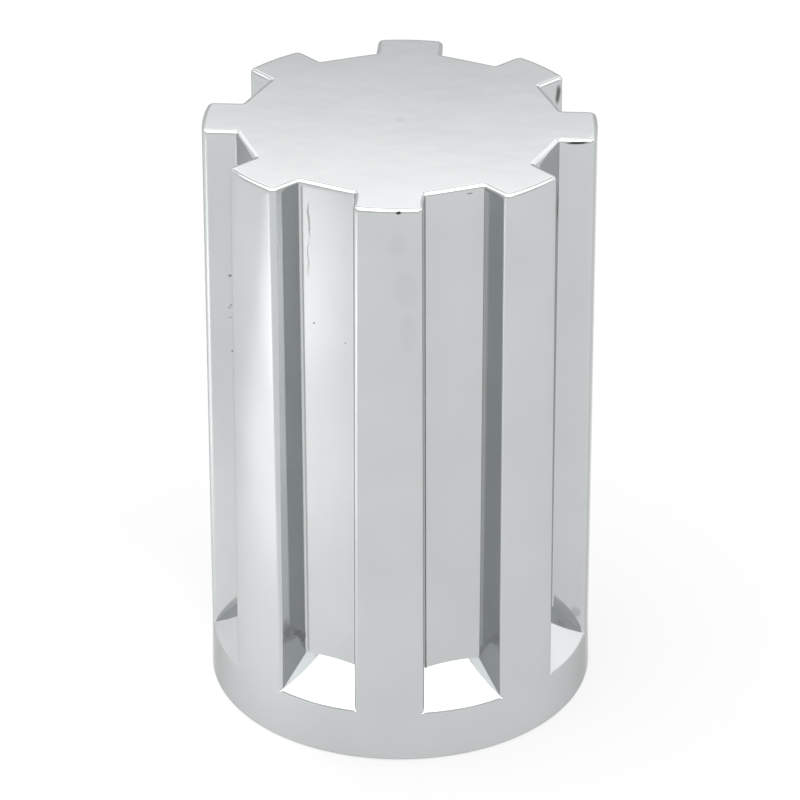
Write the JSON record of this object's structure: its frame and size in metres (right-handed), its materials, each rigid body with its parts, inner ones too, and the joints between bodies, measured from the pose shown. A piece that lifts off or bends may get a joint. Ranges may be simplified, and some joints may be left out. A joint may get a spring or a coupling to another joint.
{
  "type": "wheel nut cover cap",
  "caption": "Tall plated cap with spaced upright ridges, closed at its crown and open at its mouth, which pushes over a wheel nut and its stud.",
  "frame": {"origin": "centre of the mouth, in the plane of the rim that sits against the wheel", "axes": "+Z along the cap's axis, from the mouth to the closed crown; a ridge faces along -Y, and another along +X"},
  "size_m": [0.0564, 0.0564, 0.0889],
  "materials": {
    "bright_plating": "bright decorative plating on moulded plastic, smooth outside and inside"
  },
  "bodies": {
    "root": {"nut_cover": "bright_plating"}
  },
  "joints": []
}
